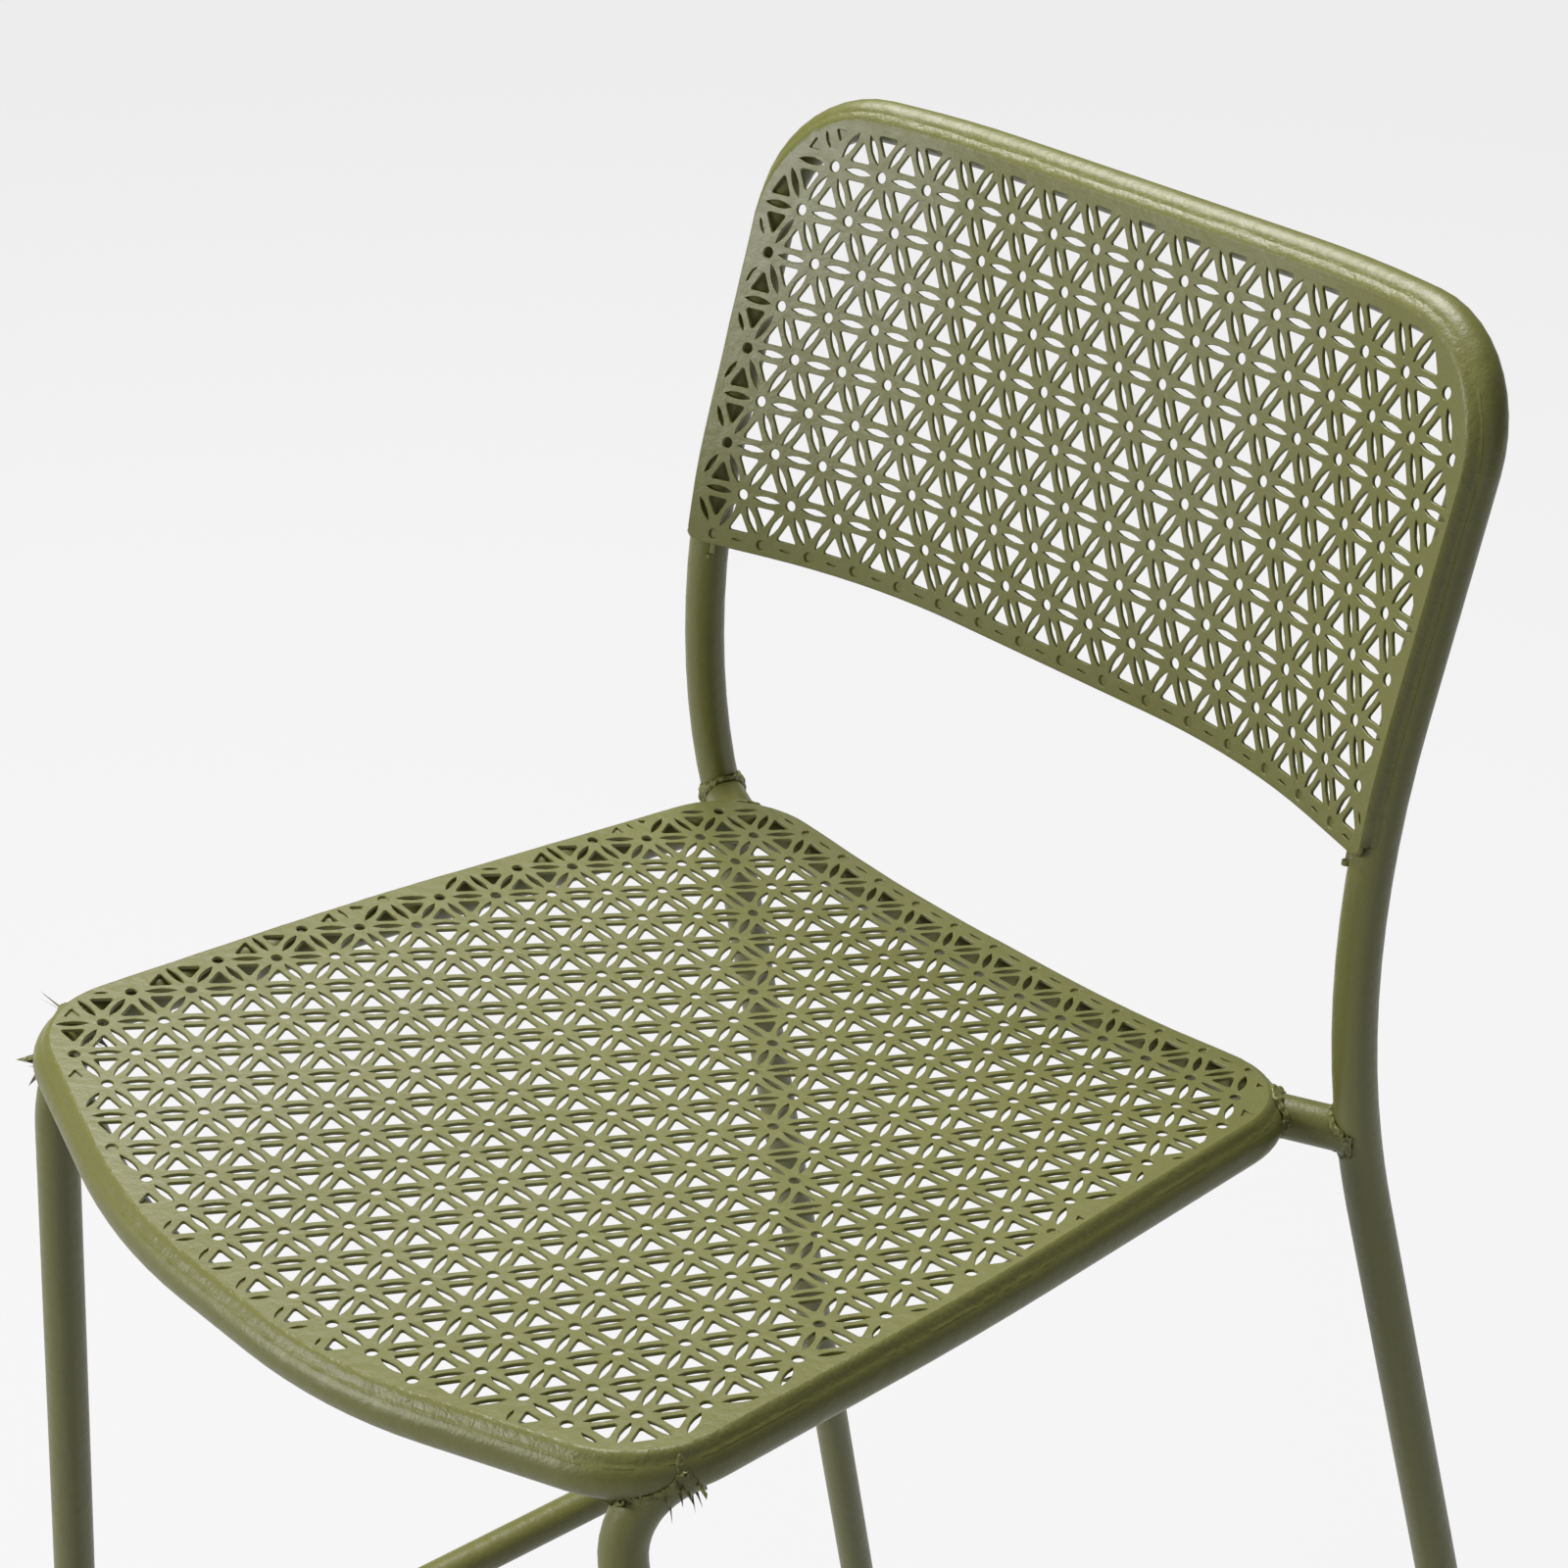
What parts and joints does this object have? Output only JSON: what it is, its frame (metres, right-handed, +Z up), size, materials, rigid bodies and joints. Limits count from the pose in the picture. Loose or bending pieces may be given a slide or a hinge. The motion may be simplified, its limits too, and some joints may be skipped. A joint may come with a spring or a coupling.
{
  "type": "stacking bar chair",
  "caption": "Bar-height stacking chair: bent steel tube frame with a dished perforated sheet seat and a bowed perforated back.",
  "frame": {"origin": "on the floor under the middle of the chair's bounding box", "axes": "+Z up, -Y the way the sitter faces, +X to the sitter's left"},
  "size_m": [0.5828, 0.6238, 1.0898],
  "materials": {
    "powder_coat": "satin olive green powder coat with a fine orange-peel texture",
    "glide_plastic": "matte dark nylon"
  },
  "bodies": {
    "root": {"back_hoop": "powder_coat", "seat_ring": "powder_coat", "seat_panel": "powder_coat", "back_panel": "powder_coat", "stub_left": "powder_coat", "stub_right": "powder_coat", "front_leg_left": "powder_coat", "front_leg_right": "powder_coat", "side_stretcher_left": "powder_coat", "side_stretcher_right": "powder_coat", "front_footrest": "powder_coat", "stub_welds": "powder_coat", "front_leg_welds": "powder_coat", "stretcher_welds": "powder_coat", "footrest_welds": "powder_coat", "back_panel_welds": "powder_coat", "front_glide_left": "glide_plastic", "front_glide_right": "glide_plastic", "rear_glide_left": "glide_plastic", "rear_glide_right": "glide_plastic"}
  },
  "joints": []
}
